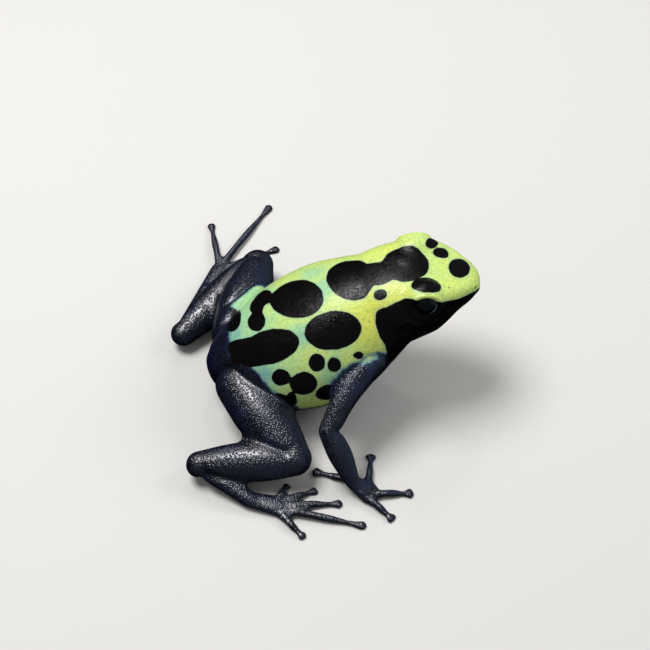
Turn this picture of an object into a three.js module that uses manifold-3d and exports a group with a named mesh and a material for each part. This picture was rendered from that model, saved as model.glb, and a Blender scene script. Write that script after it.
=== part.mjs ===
// A poison dart frog at life size, sitting upright with its hind legs folded at its sides.
// Millimetres. X runs forward, Y to the frog's left, Z up, and the floor is Z = 0.
// Sizes below are measured from the frog's middle plane. The group at the end moves the
// whole, so that its origin is the middle of its footprint on the floor.
import * as THREE from 'three';
import { mergeVertices } from 'three/addons/utils/BufferGeometryUtils.js';
import Module from 'manifold-3d';

const wasm = await Module();
wasm.setup();

// Driving dimensions

const GAP = 0.3; // between any two neighbouring nodes
const FOOTPRINT_MIDDLE = [-1.26, 2.44];

// Sections from tail to snout: x, y, z, half width, height above, depth below.
const TRUNK = [
  [-16.4, -1.3, 4.0, 2.6, 3.2, 2.4],
  [-14.7, -1.3, 4.7, 4.9, 5.0, 4.3],
  [-11.0, -1.2, 6.1, 7.4, 6.6, 6.7],
  [-6.0, -1.1, 8.4, 9.5, 7.9, 9.3],
  [0.0, -0.7, 11.5, 9.9, 8.2, 9.6],
  [5.0, -0.3, 14.4, 8.3, 7.4, 7.6],
  [9.0, 0, 16.6, 6.6, 5.9, 5.4],
];
const TRUNK_ENDS = { domes: [0.8, 4], domeShare: 0.14 };
const SKULL = [
  [4.0, 0, 15.4, 6.2, 5.6, 6.4],
  [9.0, 0, 17.4, 7.0, 5.5, 6.4],
  [13.2, 0, 18.1, 6.4, 4.7, 4.7],
  [16.4, 0, 18.5, 4.5, 3.3, 2.7],
  [18.6, 0, 18.6, 3.1, 2.3, 1.7],
  [19.8, 0, 18.5, 1.9, 1.3, 1.1],
];
const SKULL_ENDS = { domes: [4, 0.5], domeShare: 0.16, square: 2.3 };
const NECK = { at: [7.6, 0, 17.2], lean: -18 }; // the plane between head and torso, in degrees

// The lid is a ball round the eye. The opening in it has half a width and half a height, and
// slitOut is how many radii of the eye it lies out from the eye's middle.
const EYE = {
  at: [11.9, 4.0, 20.7],
  radius: 2.3,
  lid: 0.45,
  lidCorners: 0.4,
  tilt: 17,
  slit: [2.0, 1.65],
  slitOut: 1.1,
};
// The ridge from behind the lid forward to the nostril: x, y, z, half thickness.
const BROW = [
  [7.6, 3.4, 19.2, 2.2],
  [10.0, 3.8, 20.15, 2.25],
  [12.0, 4.0, 20.8, 2.3],
  [14.6, 3.6, 20.6, 1.7],
  [17.0, 2.7, 20.1, 1.2],
  [18.4, 1.9, 19.7, 0.8],
];
// The line of the mouth, as x and z from its corner to the tip of the snout.
const MOUTH = {
  corner: [9.6, 15.6],
  middle: [14.5, 16.6],
  tip: [22, 16.9],
  groove: 0.32,
  depth: 0.3,
  lip: 0.5,
  swell: 0.2,
};
// Pits sunk into the head: share of its length, angle round it, how far out the cutting ball lies.
const NOSTRIL = { share: 0.75, angle: 34, out: 0.05, radius: 0.32 };
const EARDRUM = { share: 0.31, angle: 4, out: 0.8, radius: 1.15 };

// Limbs, joint by joint. Y is the distance from the middle plane out to that side.
const ARMS = {
  right: {
    shoulder: [4.2, 7.8, 13.0],
    swell: [0.6, 12.0, 10.8],
    elbow: [-2.0, 15.6, 8.2],
    middle: [-0.6, 17.8, 5.4],
    wrist: [0.9, 20.2, 1.9],
    knuckle: [2.9, 21.2, 0.65],
    fingers: [[-4.2, 17.0], [4.0, 15.3], [8.8, 21.8], [5.6, 25.4]],
  },
  left: {
    shoulder: [4.6, 6.8, 11.8],
    swell: [2.0, 10.4, 9.6],
    elbow: [0.0, 12.4, 7.4],
    middle: [2.2, 13.6, 4.8],
    wrist: [4.6, 14.4, 1.9],
    knuckle: [6.6, 14.9, 0.65],
    fingers: [[6.8, 9.2], [10.6, 11.2], [12.8, 15.6], [9.6, 18.8]],
  },
};
const LEGS = {
  right: {
    hip: [-13.2, 5.6, 6.4],
    knee: [-6.8, 16.8, 4.0],
    heel: [-19.8, 15.7, 2.8],
    instep: [-13.4, 20.8, 1.0],
    knuckle: [-9.5, 22.1, 0.65],
    toes: [[-8.1, 18.9], [-4.2, 20.0], [-0.9, 22.4], [2.1, 26.2], [-6.6, 26.9]],
  },
  left: {
    hip: [-13.2, 3.4, 6.2],
    knee: [-9.2, 17.2, 4.0],
    heel: [-21.0, 6.9, 2.4],
    instep: [-17.2, 15.6, 1.0],
    knuckle: [-15.0, 19.4, 0.65],
    toes: [[-10.8, 18.0], [-7.6, 19.8], [-5.6, 23.2], [-6.0, 32.2], [-15.8, 29.2]],
  },
};
// Half thickness of each limb piece from its upper joint to its lower one.
const GIRTH = {
  upperArm: [2.5, 1.75, 1.4],
  forearm: [1.4, 1.65, 1.0],
  palm: [1.0, 1.7],
  thigh: [3.6, 3.9, 3.2, 2.4],
  shank: [2.4, 2.85, 2.5, 1.85],
  tarsus: [1.6, 1.3, 1.15],
  sole: [1.2, 1.5],
};
const PALM_HEIGHT = 0.8;
// Where the sections of the long limb pieces lie between their two joints.
const THIGH_SHARES = [0, 0.4, 0.75, 1];
const SHANK_SHARES = [0, 0.35, 0.7, 1];
const TARSUS_SHARES = [0, 0.5, 1];
// The tip of a digit lies a little into the ground plane, which is then cut to a flat under it.
const FINGER = { girth: 0.53, disc: 0.88, discHeight: 0.42, tipAt: 0.25, spread: 0.75 };
const TOE = { girth: 0.53, disc: 0.78, discHeight: 0.42, tipAt: 0.25, spread: 0.5 };
// A digit before its disc: share of its length, lift, then width and height in girths.
const DIGIT = [
  [0, 0, 1.2, 1.1],
  [0.3, 0.25, 1, 1],
  [0.55, 0.2, 1.05, 1],
  [0.8, 0.05, 0.75, 0.7],
];
const DISC_SHARE = 0.95;
const DISC_DOME = 0.8; // length of the disc's rounded end, in half widths
const DIGIT_DOME_SHARE = 0.25;

// Faces round each form and along it
const FACETS = {
  trunk: [26, 24],
  skull: [24, 24],
  brow: [14, 16],
  arm: [12, 10],
  leg: [14, 14],
  digit: [8, 9],
  ball: 16,
  pit: 10,
};
const PAST = 1; // how far outside the skin a cut begins
const GROUND = { side: 200, depth: 20 };
const HALF_SPACE = 60; // side of the block behind the neck, and width of the band at the mouth

const SIDES = { right: -1, left: 1 };

// Shapes

const vector = (numbers) => new THREE.Vector3(...numbers);
const between = (a, b, share) => a.map((value, i) => THREE.MathUtils.lerp(value, b[i], share));
const toSide = ([x, y, ...rest], side) => [x, y * SIDES[side], ...rest];
const even = (radius) => [radius, radius, radius];

// A body whose rounded sections follow a curve through its stations, with a dome at each end.
// The rings of a sphere are set out along it.
class Loft {
  constructor(stations, form = {}) {
    const { domes = [stations[0][3], stations.at(-1)[3]], domeShare = 0.2, square = 2 } = form;
    const places = stations.map((station) => vector(station.slice(0, 3)));
    const sizes = stations.map(([, , , wide, above = wide, below = above]) => (
      vector([wide, above, below])
    ));
    this.path = new THREE.CatmullRomCurve3(places, false, 'catmullrom');
    this.sizes = new THREE.CatmullRomCurve3(sizes, false, 'catmullrom');
    Object.assign(this, { domes, domeShare, square });
  }

  // The surface at a share of the way from tail to tip and at an angle round the section.
  point(share, angle, grow = 0) {
    const edge = this.domeShare;
    const end = share < edge ? -1 : share > 1 - edge ? 1 : 0;
    const rise = end === 0 ? 1 : (end < 0 ? share : 1 - share) / edge;
    const dome = this.domes[end > 0 ? 1 : 0] + grow;
    const along = THREE.MathUtils.clamp((share - edge) / (1 - 2 * edge), 0, 1);
    const forward = this.path.getTangent(along);
    const sideways = vector([0, 0, 1]).cross(forward).normalize();
    const upward = forward.clone().cross(sideways);
    const { x: wide, y: above, z: below } = this.sizes.getPoint(along);
    const high = Math.sin(angle) > 0 ? above : below;
    const full = Math.sin((rise * Math.PI) / 2);
    const bulge = (value) => full * Math.sign(value) * Math.abs(value) ** (2 / this.square);
    return this.path
      .getPoint(along)
      .addScaledVector(forward, end * dome * Math.cos((rise * Math.PI) / 2))
      .addScaledVector(sideways, (wide + grow) * bulge(Math.cos(angle)))
      .addScaledVector(upward, (high + grow) * bulge(Math.sin(angle)));
  }

  solid(around, rings, grow = 0) {
    const sphere = new THREE.SphereGeometry(1, around, rings);
    const position = sphere.attributes.position;
    for (let i = 0; i < position.count; i += 1) {
      const share = Math.acos(THREE.MathUtils.clamp(position.getY(i), -1, 1)) / Math.PI;
      const angle = Math.atan2(position.getZ(i), position.getX(i));
      position.setXYZ(i, ...this.point(share, angle, grow).toArray());
    }
    return toSolid(sphere);
  }
}

function toSolid(geometry) {
  geometry.deleteAttribute('normal');
  geometry.deleteAttribute('uv');
  const merged = mergeVertices(geometry);
  return new wasm.Manifold(
    new wasm.Mesh({
      numProp: 3,
      vertProperties: Float32Array.from(merged.attributes.position.array),
      triVerts: Uint32Array.from(merged.index.array),
    }),
  );
}

function ball(centre, radii, tilt = 0, around = FACETS.ball) {
  const sphere = new THREE.SphereGeometry(1, around, around / 2);
  sphere.rotateX(Math.PI / 2);
  sphere.scale(...radii);
  sphere.rotateX(THREE.MathUtils.degToRad(tilt));
  sphere.translate(...centre);
  return toSolid(sphere);
}

const cut = (solid, tools) => tools.reduce((rest, tool) => rest.subtract(tool), solid);

// The ground, cut away so that what touches it stands on flats.
const groundBlock = new THREE.BoxGeometry(GROUND.side, GROUND.side, GROUND.depth);
const ground = toSolid(groundBlock.translate(0, 0, -GROUND.depth / 2));

// Nodes

const skinLook = { color: '#c3dd7e', roughness: 0.45, metalness: 0 };
const limbLook = { color: '#2b2f3c', roughness: 0.5, metalness: 0 };
const eyeLook = { color: '#0b0a0a', roughness: 0.05, metalness: 0 };
const frog = new THREE.Group();

// A node keeps only the largest closed surface of its solid.
function add(name, solid, look) {
  const [largest] = solid.decompose().sort((a, b) => b.volume() - a.volume());
  const { vertProperties, triVerts } = largest.getMesh();
  const geometry = new THREE.BufferGeometry();
  geometry.setAttribute('position', new THREE.BufferAttribute(vertProperties, 3));
  geometry.setIndex(new THREE.BufferAttribute(triVerts, 1));
  geometry.computeVertexNormals();
  const node = new THREE.Mesh(geometry, new THREE.MeshStandardMaterial(look));
  node.name = name;
  frog.add(node);
}

// Head and torso, made as one body and parted at the neck

const trunk = new Loft(TRUNK, TRUNK_ENDS);
const skull = new Loft(SKULL, SKULL_ENDS);

// A band across the head that follows the line of the mouth, so far above and below it.
function mouthBand(above, below) {
  const { corner, middle, tip } = MOUTH;
  const edge = (shift) => {
    const lift = ([x, z]) => new THREE.Vector2(x, z + shift);
    return new THREE.QuadraticBezierCurve(lift(corner), lift(middle), lift(tip)).getPoints(8);
  };
  const outline = new THREE.Shape([...edge(-below), ...edge(above).reverse()]);
  const band = new THREE.ExtrudeGeometry(outline, { depth: HALF_SPACE, bevelEnabled: false });
  band.translate(0, 0, -HALF_SPACE / 2);
  band.rotateX(Math.PI / 2);
  return toSolid(band);
}

const trunkSolid = (grow) => trunk.solid(...FACETS.trunk, grow);
const headSolid = (grow) => skull.solid(...FACETS.skull, grow);

function lips() {
  return headSolid(MOUTH.swell).intersect(mouthBand(MOUTH.lip, MOUTH.lip));
}

function mouthLine() {
  const shell = headSolid(PAST).subtract(headSolid(-MOUTH.depth));
  return shell.intersect(mouthBand(MOUTH.groove / 2, MOUTH.groove / 2));
}

function lids(side) {
  const thick = EYE.radius + EYE.lid;
  return ball(toSide(EYE.at, side), [thick + EYE.lidCorners, thick, thick]);
}

function brow(side) {
  return new Loft(BROW.map((station) => toSide(station, side))).solid(...FACETS.brow);
}

// What is cut away at one eye: the socket, and the opening between the lids.
function eyeCuts(side) {
  const { at, radius, tilt, slit } = EYE;
  const turn = THREE.MathUtils.degToRad(tilt);
  const out = radius * EYE.slitOut;
  const front = [at[0], at[1] + out * Math.cos(turn), at[2] + out * Math.sin(turn)];
  return [
    ball(toSide(at, side), even(radius + GAP)),
    ball(toSide(front, side), [slit[0], radius, slit[1]], tilt * SIDES[side]),
  ];
}

function pit({ share, angle, out, radius }, side) {
  const place = skull.point(share, THREE.MathUtils.degToRad(angle), out).toArray();
  return ball(toSide(place, side), even(radius), 0, FACETS.pit);
}

function behindNeck(offset) {
  const block = new THREE.BoxGeometry(HALF_SPACE, HALF_SPACE, HALF_SPACE);
  block.translate(-HALF_SPACE / 2, 0, 0);
  block.rotateY(THREE.MathUtils.degToRad(NECK.lean));
  block.translate(NECK.at[0] + offset, NECK.at[1], NECK.at[2]);
  return toSolid(block);
}

let whole = trunkSolid(0).add(headSolid(0)).add(lips());
for (const side of Object.keys(SIDES)) {
  whole = whole.add(lids(side)).add(brow(side));
}
whole = cut(whole, [ground, mouthLine()]);
for (const side of Object.keys(SIDES)) {
  whole = cut(whole, [...eyeCuts(side), pit(NOSTRIL, side), pit(EARDRUM, side)]);
  add(`eye_${side}`, ball(toSide(EYE.at, side), even(EYE.radius)), eyeLook);
}
add('torso', whole.intersect(behindNeck(-GAP)), skinLook);
add('head', whole.subtract(behindNeck(0)), skinLook);
const keptClear = trunkSolid(GAP).add(headSolid(GAP));

// Limbs. Each piece is cut clear of the body and of the pieces before it on the same limb.

function addLimb(pieces) {
  const taken = [keptClear, ground];
  for (const [name, loft, facets] of pieces) {
    add(name, cut(loft.solid(...facets), taken), limbLook);
    taken.push(loft.solid(...facets, GAP));
  }
}

// A finger or toe from its root on the palm or sole to the small disc at its tip.
function digit(root, tip, { girth, disc, discHeight }) {
  const station = (share, lift, wide, high) => {
    const [x, y, z] = between(root, tip, share);
    return [x, y, z + lift, wide, high];
  };
  const shaft = DIGIT.map(([share, lift, wide, high]) => (
    station(share, lift, wide * girth, high * girth)
  ));
  return new Loft([...shaft, station(DISC_SHARE, 0, disc, discHeight)], {
    domes: [girth, disc * DISC_DOME],
    domeShare: DIGIT_DOME_SHARE,
  });
}

// The digits fan out of the knuckles, each from a root of its own across them.
function digits(name, tips, knuckle, side, style) {
  return tips.map(([x, y], i) => {
    const outward = (i - (tips.length - 1) / 2) * style.spread;
    const root = toSide([knuckle[0], knuckle[1] + outward, knuckle[2]], side);
    const loft = digit(root, toSide([x, y, style.tipAt], side), style);
    return [`${name}_${side}_${i + 1}`, loft, FACETS.digit];
  });
}

const limb = (places, girths, side) =>
  new Loft(places.map((place, i) => [...toSide(place, side), girths[i]]));
const pad = (places, girths, side) =>
  new Loft(places.map((place, i) => [...toSide(place, side), girths[i], PALM_HEIGHT]));

for (const side of Object.keys(SIDES)) {
  const { shoulder, swell, elbow, middle, wrist, knuckle, fingers } = ARMS[side];
  addLimb([
    [`upper_arm_${side}`, limb([shoulder, swell, elbow], GIRTH.upperArm, side), FACETS.arm],
    [`forearm_${side}`, limb([elbow, middle, wrist], GIRTH.forearm, side), FACETS.arm],
    [`palm_${side}`, pad([wrist, knuckle], GIRTH.palm, side), FACETS.arm],
    ...digits('finger', fingers, knuckle, side, FINGER),
  ]);
}

for (const side of Object.keys(SIDES)) {
  const { hip, knee, heel, instep, knuckle, toes } = LEGS[side];
  const thigh = THIGH_SHARES.map((share) => between(hip, knee, share));
  const shank = SHANK_SHARES.map((share) => between(knee, heel, share));
  const tarsus = TARSUS_SHARES.map((share) => between(heel, instep, share));
  addLimb([
    [`thigh_${side}`, limb(thigh, GIRTH.thigh, side), FACETS.leg],
    [`shank_${side}`, limb(shank, GIRTH.shank, side), FACETS.leg],
    [`tarsus_${side}`, limb(tarsus, GIRTH.tarsus, side), FACETS.arm],
    [`sole_${side}`, pad([instep, knuckle], GIRTH.sole, side), FACETS.arm],
    ...digits('toe', toes, knuckle, side, TOE),
  ]);
}

frog.position.set(-FOOTPRINT_MIDDLE[0], -FOOTPRINT_MIDDLE[1], 0);

export default frog;
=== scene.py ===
# %% [markdown]
# # A poison dart frog at life size
# The solids give the frog its pose and its true size. This script dresses them: one fine
# skin over the whole animal, two glossy eyes, and the colours of the live frog. The solids
# come first, so that every piece made here has something exact to sit on.

import math

import bmesh
import bpy
import numpy as np
from mathutils import Matrix, Vector
from mathutils.bvhtree import BVHTree


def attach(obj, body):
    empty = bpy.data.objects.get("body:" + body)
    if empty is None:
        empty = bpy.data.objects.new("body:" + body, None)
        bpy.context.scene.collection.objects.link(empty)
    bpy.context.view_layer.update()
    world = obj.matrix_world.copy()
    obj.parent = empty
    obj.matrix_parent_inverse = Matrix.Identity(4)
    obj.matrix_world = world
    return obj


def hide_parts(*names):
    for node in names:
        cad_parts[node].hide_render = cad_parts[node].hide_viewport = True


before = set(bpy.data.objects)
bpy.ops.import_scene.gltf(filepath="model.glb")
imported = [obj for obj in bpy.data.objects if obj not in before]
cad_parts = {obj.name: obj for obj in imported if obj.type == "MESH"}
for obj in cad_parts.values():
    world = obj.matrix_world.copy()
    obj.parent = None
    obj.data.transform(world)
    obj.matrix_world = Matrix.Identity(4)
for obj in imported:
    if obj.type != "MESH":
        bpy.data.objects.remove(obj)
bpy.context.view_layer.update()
print("solids:", len(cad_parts), "nodes")

# %% [markdown]
# ## The camera
# The frog is seen from its right, well above its back. A camera could be placed by eye, but
# an angle above the floor, a turn round the frog and a distance say the same thing in three
# numbers that can be checked. The long lens keeps the near foot from looking large.

# %% Camera
IMAGE_SIDE = 650
LOOKED_AT = Vector((0.00126, 0.00556, 0))
ELEVATION, TURN = math.radians(54), math.radians(-6)
DISTANCE = 0.210
FOCAL_PIXELS = 1407

towards_camera = Vector((
    math.sin(TURN) * math.cos(ELEVATION),
    -math.cos(TURN) * math.cos(ELEVATION),
    math.sin(ELEVATION),
))
camera_data = bpy.data.cameras.new("camera")
camera_data.sensor_width = 36
camera_data.lens = FOCAL_PIXELS * camera_data.sensor_width / IMAGE_SIDE
camera_data.clip_start = 0.01
camera = bpy.data.objects.new("camera", camera_data)
camera.location = LOOKED_AT + DISTANCE * towards_camera
camera.rotation_euler = (-towards_camera).to_track_quat("-Z", "Y").to_euler()
bpy.context.scene.collection.objects.link(camera)
bpy.context.scene.camera = camera
print("camera", DISTANCE, "m away, lens", round(camera_data.lens, 1), "mm")

# %% [markdown]
# ## Units and places
# The frog is worked in millimetres from its own middle plane, because its parts are small:
# X runs forward, Y to its left and Z up. At the end each mesh is moved to the middle of the
# footprint and scaled to metres, which is how the solids stand.

# %% From the worktable to the stage
MILLIMETRE = 0.001
FOOTPRINT_MIDDLE = Vector((-1.26, 2.44, 0))
SIDES = {"right": -1, "left": 1}


def to_side(place, side):
    """A place on the right or the left, from its distance out from the middle plane."""
    return [place[0], place[1] * SIDES[side], *place[2:]]


def finish_piece(mesh, name, replaced):
    """Scales a mesh to metres, sets it on the footprint and fastens it to the solids."""
    mesh.transform(Matrix.Scale(MILLIMETRE, 4) @ Matrix.Translation(-FOOTPRINT_MIDDLE))
    mesh.name = name
    piece = bpy.data.objects.new(name, mesh)
    bpy.context.scene.collection.objects.link(piece)
    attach(piece, "root")
    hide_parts(*replaced)
    return piece


# %% [markdown]
# ## A body that follows its bones
# A frog's trunk, thigh or toe is a row of rounded sections along a bent line. It could be
# sculpted by hand, or made from a skin modifier over bones. Here the rings of a sphere are
# set out along a smooth curve through named stations, since the solids are made from the
# same stations and the skin then fits them everywhere.

# %% A smooth line through stations
def on_curve(rows, share):
    """The row of numbers at a share of the way along a smooth curve through the rows."""
    spans = len(rows) - 1
    place = min(max(share, 0), 1) * spans
    first = min(int(place), spans - 1)
    t = place - first
    start, end = rows[first], rows[first + 1]
    before = rows[first - 1] if first else 2 * rows[0] - rows[1]
    after = rows[first + 2] if first + 2 <= spans else 2 * rows[-1] - rows[-2]
    leave, arrive = (end - before) / 2, (after - start) / 2
    bend = 3 * (end - start) - 2 * leave - arrive
    return start + leave * t + bend * t**2 + (2 * (start - end) + leave + arrive) * t**3


def unit(arrow):
    """The arrow at a length of one."""
    return arrow / np.linalg.norm(arrow)


# %% Sections along the line, with a dome at each end
class Loft:
    """Rounded sections from the first station to the last, with a dome at each end.

    A station is x, y, z, half width, height above and depth below. Depth left out is the
    height, and height left out is the half width. The domes stand so far out past the end
    stations, and dome_share says what share of the rings each takes. Sections are ovals
    where square is 2, and squarer where it is more."""

    def __init__(self, stations, domes=None, dome_share=0.2, square=2):
        rows = np.array([[*row, *[row[-1]] * (6 - len(row))] for row in stations], float)
        self.places, self.sizes = rows[:, :3], rows[:, 3:]
        self.domes = domes or (rows[0, 3], rows[-1, 3])
        self.dome_share, self.square = dome_share, square
        self.known = {}

    def section(self, along):
        """Centre, three directions and three sizes of the section at a share of the line.

        A ring of vertices shares one section, so each is worked out once and kept."""
        along = round(along, 6)
        if along not in self.known:
            nudge = 1e-4
            ahead = on_curve(self.places, min(along + nudge, 1))
            forward = unit(ahead - on_curve(self.places, max(along - nudge, 0)))
            sideways = unit(np.cross((0, 0, 1), forward))
            upward = np.cross(forward, sideways)
            centre = on_curve(self.places, along)
            self.known[along] = centre, forward, sideways, upward, on_curve(self.sizes, along)
        return self.known[along]

    def point(self, share, angle):
        """The surface at a share of the length and an angle round it."""
        edge = self.dome_share
        end = -1 if share < edge else 1 if share > 1 - edge else 0
        rise = 1 if end == 0 else (share if end < 0 else 1 - share) / edge
        dome = self.domes[1 if end > 0 else 0]
        along = min(max((share - edge) / (1 - 2 * edge), 0), 1)
        centre, forward, sideways, upward, (wide, above, below) = self.section(along)
        high = above if math.sin(angle) > 0 else below
        full = math.sin(rise * math.pi / 2)
        across, up = (
            full * math.copysign(abs(value) ** (2 / self.square), value)
            for value in (math.cos(angle), math.sin(angle))
        )
        return (
            centre
            + forward * end * dome * math.cos(rise * math.pi / 2)
            + sideways * wide * across
            + upward * high * up
        )


# %% A sphere laid out along a loft
def add_loft(bm, loft, around, rings):
    """Lays the rings of a new sphere out along the loft."""
    sphere = bmesh.ops.create_uvsphere(bm, u_segments=around, v_segments=rings, radius=1)
    for vert in sphere["verts"]:
        share = math.acos(min(max(-vert.co.z, -1), 1)) / math.pi
        vert.co = loft.point(share, math.atan2(vert.co.y, vert.co.x))


def new_mesh(bm, name):
    """Turns a bmesh into a finished mesh, and frees it."""
    mesh = bpy.data.meshes.new(name)
    bm.to_mesh(mesh)
    bm.free()
    return mesh


# %% [markdown]
# ## Trunk and head
# The trunk is widest behind the arms and ends in a narrow rump. The head is a second row of
# sections with squarer cheeks, which starts inside the shoulders. Each eye sits in a lid, a
# ball a little larger than the eye itself, and a low brow runs on from it to the nostril.
# All this could be sculpted as one form. As plain forms that overlap, each keeps a few
# numbers of its own, and the skin made over them later hides where they meet.

# %% Trunk and head
TRUNK = [
    [-16.4, -1.3, 4.0, 2.6, 3.2, 2.4],
    [-14.7, -1.3, 4.7, 4.9, 5.0, 4.3],
    [-11.0, -1.2, 6.1, 7.4, 6.6, 6.7],
    [-6.0, -1.1, 8.4, 9.5, 7.9, 9.3],
    [0.0, -0.7, 11.5, 9.9, 8.2, 9.6],
    [5.0, -0.3, 14.4, 8.3, 7.4, 7.6],
    [9.0, 0, 16.6, 6.6, 5.9, 5.4],
]
SKULL = [
    [4.0, 0, 15.4, 6.2, 5.6, 6.4],
    [9.0, 0, 17.4, 7.0, 5.5, 6.4],
    [13.2, 0, 18.1, 6.4, 4.7, 4.7],
    [16.4, 0, 18.5, 4.5, 3.3, 2.7],
    [18.6, 0, 18.6, 3.1, 2.3, 1.7],
    [19.8, 0, 18.5, 1.9, 1.3, 1.1],
]
EYE_AT, EYE_RADIUS, LID, LID_CORNERS = (11.9, 4.0, 20.7), 2.3, 0.45, 0.4
BROW = [
    [7.6, 3.4, 19.2, 2.2],
    [10.0, 3.8, 20.15, 2.25],
    [12.0, 4.0, 20.8, 2.3],
    [14.6, 3.6, 20.6, 1.7],
    [17.0, 2.7, 20.1, 1.2],
    [18.4, 1.9, 19.7, 0.8],
]

trunk = Loft(TRUNK, domes=(0.8, 4), dome_share=0.14)
skull = Loft(SKULL, domes=(4, 0.5), dome_share=0.16, square=2.3)
body = bmesh.new()
add_loft(body, trunk, around=80, rings=72)
add_loft(body, skull, around=80, rings=64)
for side in SIDES:
    lid = bmesh.ops.create_uvsphere(body, u_segments=40, v_segments=24, radius=EYE_RADIUS + LID)
    stretch = 1 + LID_CORNERS / (EYE_RADIUS + LID)
    bmesh.ops.scale(body, verts=lid["verts"], vec=(stretch, 1, 1))
    bmesh.ops.translate(body, verts=lid["verts"], vec=to_side(EYE_AT, side))
    add_loft(body, Loft([to_side(station, side) for station in BROW]), around=40, rings=32)
print("trunk, head and lids:", len(body.faces), "faces")

# %% [markdown]
# ## Limbs
# Each limb is a chain of the same lofts: upper arm, forearm and palm, or thigh, shank,
# tarsus and sole. Neighbours share a joint, where their round ends overlap, so the skin made
# over them later has no break at an elbow or knee.

# %% Joints of the arms and legs
ARMS = {
    "right": {
        "shoulder": [4.2, 7.8, 13.0], "swell": [0.6, 12.0, 10.8], "elbow": [-2.0, 15.6, 8.2],
        "middle": [-0.6, 17.8, 5.4], "wrist": [0.9, 20.2, 1.9], "knuckle": [2.9, 21.2, 0.65],
        "digits": [[-4.2, 17.0], [4.0, 15.3], [8.8, 21.8], [5.6, 25.4]],
    },
    "left": {
        "shoulder": [4.6, 6.8, 11.8], "swell": [2.0, 10.4, 9.6], "elbow": [0.0, 12.4, 7.4],
        "middle": [2.2, 13.6, 4.8], "wrist": [4.6, 14.4, 1.9], "knuckle": [6.6, 14.9, 0.65],
        "digits": [[6.8, 9.2], [10.6, 11.2], [12.8, 15.6], [9.6, 18.8]],
    },
}
LEGS = {
    "right": {
        "hip": [-13.2, 5.6, 6.4], "knee": [-6.8, 16.8, 4.0], "heel": [-19.8, 15.7, 2.8],
        "instep": [-13.4, 20.8, 1.0], "knuckle": [-9.5, 22.1, 0.65],
        "digits": [[-8.1, 18.9], [-4.2, 20.0], [-0.9, 22.4], [2.1, 26.2], [-6.6, 26.9]],
    },
    "left": {
        "hip": [-13.2, 3.4, 6.2], "knee": [-9.2, 17.2, 4.0], "heel": [-21.0, 6.9, 2.4],
        "instep": [-17.2, 15.6, 1.0], "knuckle": [-15.0, 19.4, 0.65],
        "digits": [[-10.8, 18.0], [-7.6, 19.8], [-5.6, 23.2], [-6.0, 32.2], [-15.8, 29.2]],
    },
}
GIRTH = {
    "upper_arm": [2.5, 1.75, 1.4], "forearm": [1.4, 1.65, 1.0], "palm": [1.0, 1.7],
    "thigh": [3.6, 3.9, 3.2, 2.4], "shank": [2.4, 2.85, 2.5, 1.85],
    "tarsus": [1.6, 1.3, 1.15], "sole": [1.2, 1.5],
}
PADS, PAD_HEIGHT = ("palm", "sole"), 0.8
FINGER = {"girth": 0.53, "disc": 0.88, "disc_height": 0.42, "tip_at": 0.25, "spread": 0.75}
TOE = {"girth": 0.53, "disc": 0.78, "disc_height": 0.42, "tip_at": 0.25, "spread": 0.5}


def between(first, second, share):
    """The place at a share of the way from the first to the second."""
    return [start + (end - start) * share for start, end in zip(first, second)]


# %% A limb piece and a digit
# LEG_STATIONS says where a leg piece has stations between its two joints. A row of
# DIGIT_STATIONS is a share of the digit's length, how far it arches there, and its width and
# height as shares of its girth.
LEG_STATIONS = {"thigh": (0.4, 0.75), "shank": (0.35, 0.7), "tarsus": (0.5,)}
DIGIT_STATIONS = [
    [0, 0, 1.2, 1.1], [0.3, 0.25, 1, 1], [0.55, 0.2, 1.05, 1], [0.8, 0.05, 0.75, 0.7],
]
DISC_AT, DISC_DOME = 0.95, 0.8


def bone(name, start, end):
    """The stations of a leg piece, from joint to joint."""
    return [start, *[between(start, end, share) for share in LEG_STATIONS[name]], end]


def limb(name, line, side):
    """A limb piece, round all along or flat where it is a palm or a sole."""
    height = [PAD_HEIGHT] if name in PADS else []
    places = [to_side(place, side) for place in line]
    return Loft([[*place, girth, *height] for place, girth in zip(places, GIRTH[name])])


def digit(root, tip, style):
    """A finger or toe, from its root on the palm or sole to the small disc at its tip."""
    girth, disc = style["girth"], style["disc"]
    rows = [[*row[:2], girth * row[2], girth * row[3]] for row in DIGIT_STATIONS]
    rows.append([DISC_AT, 0, disc, style["disc_height"]])
    stations = []
    for share, arch, wide, high in rows:
        x, y, z = between(root, tip, share)
        stations.append([x, y, z + arch, wide, high])
    return Loft(stations, domes=(girth, disc * DISC_DOME), dome_share=0.25)


def digits(tips, knuckle, side, style):
    """Digits that fan out of the knuckles, each from a root of its own across them."""
    for number, (x, y) in enumerate(tips):
        outward = (number - (len(tips) - 1) / 2) * style["spread"]
        root = [knuckle[0], knuckle[1] + outward, knuckle[2]]
        yield digit(to_side(root, side), to_side([x, y, style["tip_at"]], side), style)


# %% All the limbs
limbs = bmesh.new()
limb_lofts = {}
for side in SIDES:
    arm, leg = ARMS[side], LEGS[side]
    lines = {
        "upper_arm": [arm["shoulder"], arm["swell"], arm["elbow"]],
        "forearm": [arm["elbow"], arm["middle"], arm["wrist"]],
        "palm": [arm["wrist"], arm["knuckle"]],
        "thigh": bone("thigh", leg["hip"], leg["knee"]),
        "shank": bone("shank", leg["knee"], leg["heel"]),
        "tarsus": bone("tarsus", leg["heel"], leg["instep"]),
        "sole": [leg["instep"], leg["knuckle"]],
    }
    limb_lofts[side] = {name: limb(name, line, side) for name, line in lines.items()}
    for piece in limb_lofts[side].values():
        add_loft(limbs, piece, around=40, rings=36)
    for piece in [*digits(arm["digits"], arm["knuckle"], side, FINGER),
                  *digits(leg["digits"], leg["knuckle"], side, TOE)]:
        add_loft(limbs, piece, around=20, rings=28)
limb_surface = BVHTree.FromBMesh(limbs)
print("limbs:", len(limbs.faces), "faces")

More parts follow.
